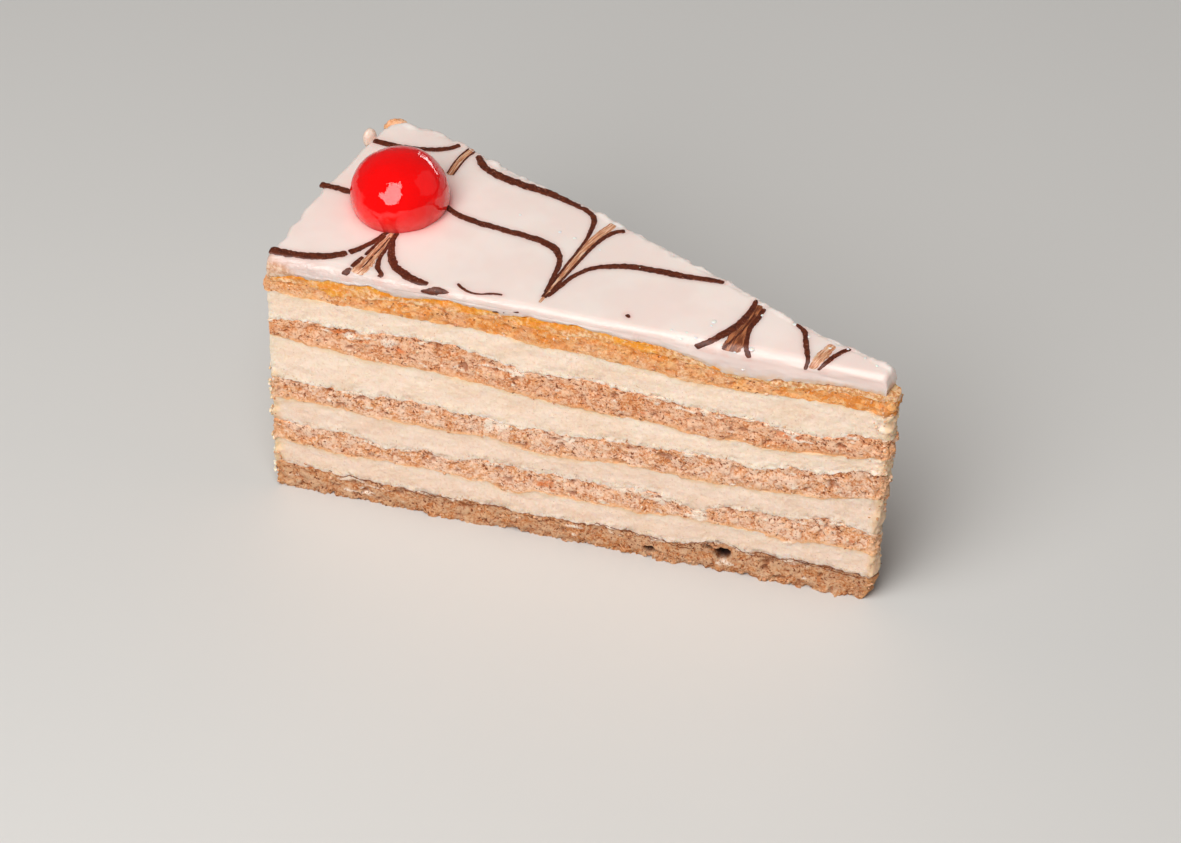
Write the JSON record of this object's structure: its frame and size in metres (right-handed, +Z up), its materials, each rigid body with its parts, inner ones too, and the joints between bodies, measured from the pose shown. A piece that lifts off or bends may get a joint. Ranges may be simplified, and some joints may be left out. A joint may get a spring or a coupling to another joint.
{
  "type": "layered torte slice",
  "caption": "A wedge of layered nut torte with pale buttercream between nut sponges, apricot jam under marbled white icing, and half a candied cherry near the rim",
  "frame": {"origin": "the middle of the footprint's bounding box, on the plane the slice rests on", "axes": "+X runs along the slice to its point, -X is the rim, +Y is the far cut face and -Y the cut face seen in the picture, +Z is up"},
  "size_m": [0.1135, 0.0476, 0.0621],
  "materials": {
    "sponge": "open, crumbly nut sponge, pinkish tan with darker nut flecks",
    "cream": "satin buttercream, cut and slightly torn by the knife",
    "jam": "wet, translucent apricot jam soaked into the sponge below",
    "icing": "glossy, slightly translucent sugar icing marbled with dark chocolate",
    "cherry": "glossy, translucent candied cherry",
    "nuts": "thin cream mask with chopped nuts pressed into its lower half"
  },
  "bodies": {
    "root": {"sponge_1": "sponge", "sponge_2": "sponge", "sponge_3": "sponge", "sponge_4": "sponge", "sponge_5": "sponge", "cream_1": "cream", "cream_2": "cream", "cream_3": "cream", "cream_4": "cream", "apricot_jam": "jam", "icing": "icing", "cherry": "cherry", "rim_coat": "nuts"}
  },
  "joints": []
}
